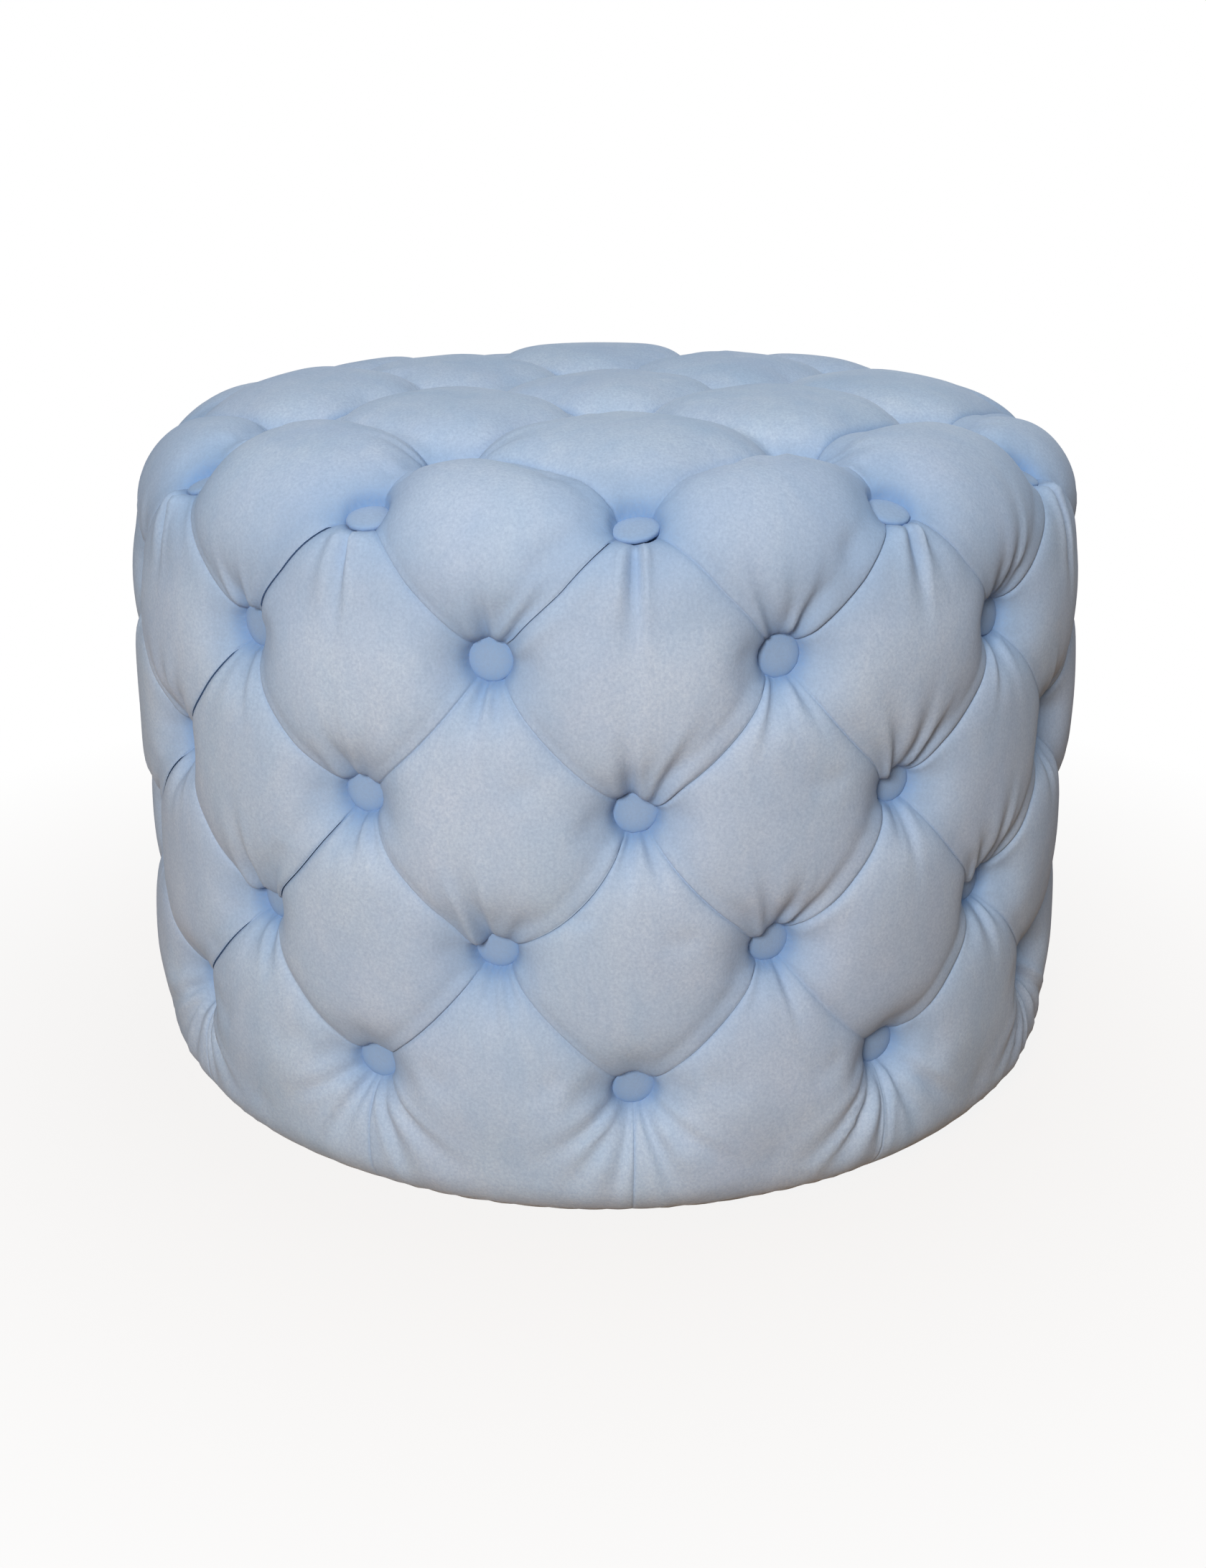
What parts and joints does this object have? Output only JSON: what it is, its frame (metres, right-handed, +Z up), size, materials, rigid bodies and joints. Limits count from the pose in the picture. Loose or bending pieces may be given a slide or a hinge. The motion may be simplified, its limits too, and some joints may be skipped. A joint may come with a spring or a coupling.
{
  "type": "round tufted pouf",
  "caption": "Round drum pouf in pale velvet with deep diamond button tufting over the top and sides; a footstool or low seat.",
  "frame": {"origin": "on the floor, at the bottom centre of the drum", "axes": "+Z up along the drum's axis; -Y is the front, where a button of the rim row stands in the middle"},
  "size_m": [0.588, 0.588, 0.416],
  "materials": {
    "velvet": "short-pile velvet, matt",
    "plywood": "raw",
    "pine": "planed",
    "hardboard": "raw",
    "foam": "open-cell",
    "twine": "waxed",
    "toggle_plastic": "matt",
    "dust_cloth": "non-woven",
    "glide_plastic": "satin",
    "staple_wire": "galvanised"
  },
  "bodies": {
    "root": {"base_board": "plywood", "batten_1": "pine", "batten_2": "pine", "batten_3": "pine", "batten_4": "pine", "batten_5": "pine", "batten_6": "pine", "batten_7": "pine", "batten_8": "pine", "buttons_rim": "velvet", "buttons_side_1": "velvet", "buttons_side_2": "velvet", "buttons_side_3": "velvet", "buttons_side_4": "velvet", "buttons_top_inner": "velvet", "buttons_top_outer": "velvet", "dust_cover": "dust_cloth", "dust_staples": "staple_wire", "glides": "glide_plastic", "hem_staples": "staple_wire", "side_foam": "foam", "toggles_rim": "toggle_plastic", "toggles_side_1": "toggle_plastic", "toggles_side_2": "toggle_plastic", "toggles_side_3": "toggle_plastic", "toggles_side_4": "toggle_plastic", "toggles_top_inner": "toggle_plastic", "toggles_top_outer": "toggle_plastic", "top_board": "plywood", "top_foam": "foam", "tufted_cover": "velvet", "twines_rim": "twine", "twines_side_1": "twine", "twines_side_2": "twine", "twines_side_3": "twine", "twines_side_4": "twine", "twines_top_inner": "twine", "twines_top_outer": "twine", "wall_front": "hardboard", "wall_rear": "hardboard", "wall_staples": "staple_wire"}
  },
  "joints": []
}
